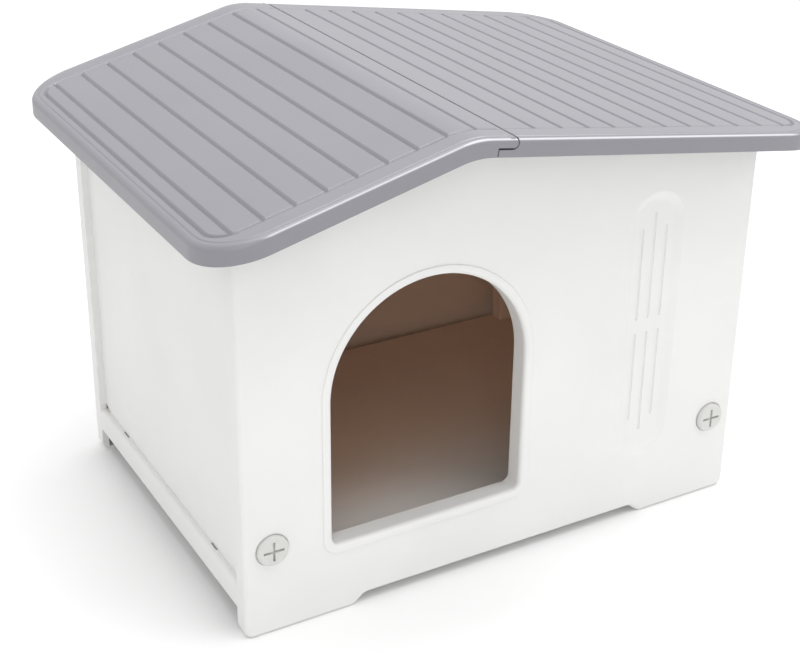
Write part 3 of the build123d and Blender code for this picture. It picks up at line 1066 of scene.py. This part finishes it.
def door_sleeve(settings):
    """The doorway's frame and jamb in one: its section swept round the arch, the corners and the sill."""
    band = settings.frame_band
    front = -panel_face - settings.frame_proud
    lip = arc(jamb_round, 180, 270, jamb_steps, (jamb_round, front + jamb_round))
    shoulder = arc(frame_round, 270, 360, frame_steps, (band - frame_round, front + frame_round))
    section = [(0, -panel_back)] + lip + shoulder
    section += [(band, -panel_face + skin / 2), (skin, -panel_face + skin / 2), (skin, -panel_back)]
    left = door_x - door_half
    piece = draw("door_sleeve", [(left - away, y, arch_z) for away, y in section])
    arch = (door_x, 0, arch_z)
    bpy.ops.mesh.spin(steps=settings.arch_steps, dupli=False, angle=pi, center=arch, axis=(0, -1, 0))
    drop = arch_z - sill_z - door_corner
    run = 2 * (door_half - door_corner)
    pull((0, 0, -drop))
    for side, move in ((1, (-run, 0, 0)), (-1, (0, 0, drop))):
        centre = (door_x + side * (door_half - door_corner), 0, sill_z + door_corner)
        bpy.ops.mesh.spin(steps=door_corner_steps, dupli=False, angle=pi / 2, center=centre, axis=(0, -1, 0))
        pull(move)
    close()
    choose(
        piece, "FACE",
        lambda face: abs(face.normal.z) > 0.99 and abs(face.calc_center_median().z - arch_z) < same_corner
        and len(face.verts) > 6,
    )
    bpy.ops.mesh.delete(type="FACE")
    bpy.ops.mesh.select_all(action="SELECT")
    bpy.ops.mesh.remove_doubles(threshold=same_corner)
    outward()
    return piece


def door_outline(grow, steps):
    """The doorway's front view, larger all round by some distance."""
    half = door_half + grow
    corner = door_corner + grow
    points = arc(half, 0, 180, steps, (door_x, arch_z))
    low = sill_z - grow + corner
    points += arc(corner, 180, 270, door_corner_steps, (door_x - half + corner, low))
    points += arc(corner, 270, 360, door_corner_steps, (door_x + half - corner, low))
    return points


def relief_oval(name, start, end):
    """An upright oval with straight sides, from one depth to another."""
    outline = arc(relief_half, 0, 180, oval_steps, (relief_x, relief_high))
    outline += arc(relief_half, 180, 360, oval_steps, (relief_x, relief_low))
    return solid(name, outline, start, end)


def relief_tool(settings):
    """The tool that presses the oval relief, with a soft slope all round."""
    start = -panel_face - relief_overlap
    piece = relief_oval("relief", start - relief_tool_thick, start)
    choose(piece, "FACE", lambda face: face.normal.y > 0.9 and face.calc_center_median().y > start - mm)
    depth = settings.relief_depth + relief_overlap
    for n in range(relief_steps):
        rise = depth * (cos(pi * n / relief_steps) - cos(pi * (n + 1) / relief_steps)) / 2
        bpy.ops.mesh.inset(thickness=settings.relief_slope / relief_steps, depth=rise)
    close()
    return piece


def flute_tool(x, low, high, floor):
    """The tool for one thin groove with round ends."""
    bpy.ops.mesh.primitive_uv_sphere_add(
        segments=24, ring_count=12, radius=flute_radius, location=(x, floor - flute_lift, low + flute_radius)
    )
    piece = placed("flute")
    choose(piece, "VERT", lambda corner: corner.co.z > low + flute_radius + same_corner)
    bpy.ops.transform.translate(value=(0, 0, high - low - 2 * flute_radius))
    close()
    return piece


def press_relief(panel, settings):
    """The blind oval relief with its two sets of three grooves."""
    floor = -panel_face + settings.relief_depth
    inside = -panel_face + skin
    combine(panel, relief_oval("backing", inside - skin / 2, inside + relief_backing), "UNION")
    combine(panel, relief_tool(settings), "DIFFERENCE")
    for column, reach in ((-1, flute_side_reach), (0, flute_middle_reach), (1, flute_side_reach)):
        x = relief_x + column * flute_pitch
        combine(panel, flute_tool(x, flute_middle + flute_gap, flute_middle + reach, floor), "DIFFERENCE")
        combine(panel, flute_tool(x, flute_middle - reach, flute_middle - flute_gap, floor), "DIFFERENCE")


class CATHOUSE_OT_panels(bpy.types.Operator):
    """Model the front and back panels"""

    bl_idname = "cat_house.panels"
    bl_label = "Front and back panels"

    def execute(self, context):
        settings = context.scene.cat_house_panels
        limits = [*between_walls, above_feet]
        front_plastic = wall_plastic("front_panel_plastic", settings, [behind_front, *limits])
        back_plastic = wall_plastic("back_panel_plastic", settings, [before_back, *limits])
        front = gable_tray("moulded_front_panel", settings)
        back = copy(front, "moulded_back_panel")
        move_to_back(back)
        opening = door_outline(door_grow, settings.arch_steps)
        hole = solid("doorway", opening, -panel_face - cut_through, -panel_back + cut_through)
        combine(front, hole, "DIFFERENCE")
        combine(front, door_sleeve(settings), "UNION")
        press_relief(front, settings)
        finish_piece(front, "house", front_plastic, ("front_panel",))
        finish_piece(back, "house", back_plastic, ("back_panel",))
        return {"FINISHED"}


class CATHOUSE_OT_sides(bpy.types.Operator):
    """Finish the side walls and the floor tray"""

    bl_idname = "cat_house.sides"
    bl_label = "Side walls and floor tray"

    def execute(self, context):
        settings = context.scene.cat_house_panels
        limits = {name: [limit] for name, limit in within_wall.items()}
        limits["floor_tray"] = [over_tray, *between_walls, above_floor]
        for name, places in limits.items():
            piece = frame["nodes"][name]
            piece.data.materials.clear()
            piece.data.materials.append(wall_plastic(name + "_plastic", settings, places))
        return {"FINISHED"}


def screw_body(settings):
    """One screw at the middle of the front: a domed-rim head, a shank and a cross slot."""
    seat = screw_front + screw_head_thick
    head = rod("screw", screw_rim, (0, screw_front, screw_z), (0, seat, screw_z), fine_sides)
    round_edges(
        head,
        lambda edge: all(corner.co.y < screw_front + same_corner for corner in edge.verts),
        settings.rim_round, edge_steps,
    )
    shank = rod("shank", screw_shank, (0, seat - mm, screw_z), (0, screw_tip, screw_z))
    combine(head, shank, "UNION")
    half_long = settings.slot_length / 2
    half_wide = settings.slot_width / 2
    deep = settings.slot_depth
    for along, up in ((half_long, half_wide), (half_wide, half_long)):
        slot = block(
            "slot", (-along, screw_front - mm, screw_z - up), (along, screw_front + deep, screw_z + up)
        )
        combine(head, slot, "DIFFERENCE")
    return head


class CATHOUSE_OT_screws(bpy.types.Operator):
    """Model the four cross-slot screws"""

    bl_idname = "cat_house.screws"
    bl_label = "Screws"

    def execute(self, context):
        settings = context.scene.cat_house_screws
        plastic = moulded_plastic("screw_plastic", settings.colour, screw_roughness)
        pattern = screw_body(settings)
        pairs = {"front": [], "back": []}
        for place in pairs:
            for side, x in zip(("left", "right"), screw_xs):
                screw = copy(pattern, f"{place}_{side}_screw_head")
                choose(screw, "VERT", lambda corner: True)
                bpy.ops.transform.translate(value=(x, 0, 0))
                close()
                if place == "back":
                    move_to_back(screw)
                finish_piece(screw, "house", plastic)
                pairs[place].append(screw)
            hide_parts(place + "_screws")
            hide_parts(place + "_screws")
        bpy.data.objects.remove(pattern)
        return {"FINISHED"}


class CATHOUSE_PT_panel(bpy.types.Panel):
    """The steps that build the cat house"""

    bl_label = "Cat house"
    bl_idname = "CATHOUSE_PT_panel"
    bl_space_type = "VIEW_3D"
    bl_region_type = "UI"
    bl_category = "Cat house"

    def draw(self, context):
        for step in build_steps:
            self.layout.operator(step.bl_idname)


build_steps = (
    CATHOUSE_OT_stage, CATHOUSE_OT_roof, CATHOUSE_OT_panels, CATHOUSE_OT_sides, CATHOUSE_OT_screws,
)
setting_groups = {
    "cat_house_roof": RoofSettings,
    "cat_house_panels": PanelSettings,
    "cat_house_screws": ScrewSettings,
    "cat_house_stage": StageSettings,
}


def register():
    for kind in (*setting_groups.values(), *build_steps, CATHOUSE_PT_panel):
        bpy.utils.register_class(kind)
    for name, group in setting_groups.items():
        setattr(bpy.types.Scene, name, PointerProperty(type=group))


def unregister():
    for name in setting_groups:
        delattr(bpy.types.Scene, name)
    for kind in (CATHOUSE_PT_panel, *build_steps, *setting_groups.values()):
        bpy.utils.unregister_class(kind)


def main():
    register()
    bpy.ops.cat_house.stage()
    bpy.ops.cat_house.roof()
    bpy.ops.cat_house.panels()
    bpy.ops.cat_house.sides()
    bpy.ops.cat_house.screws()


if __name__ == "__main__":
    main()
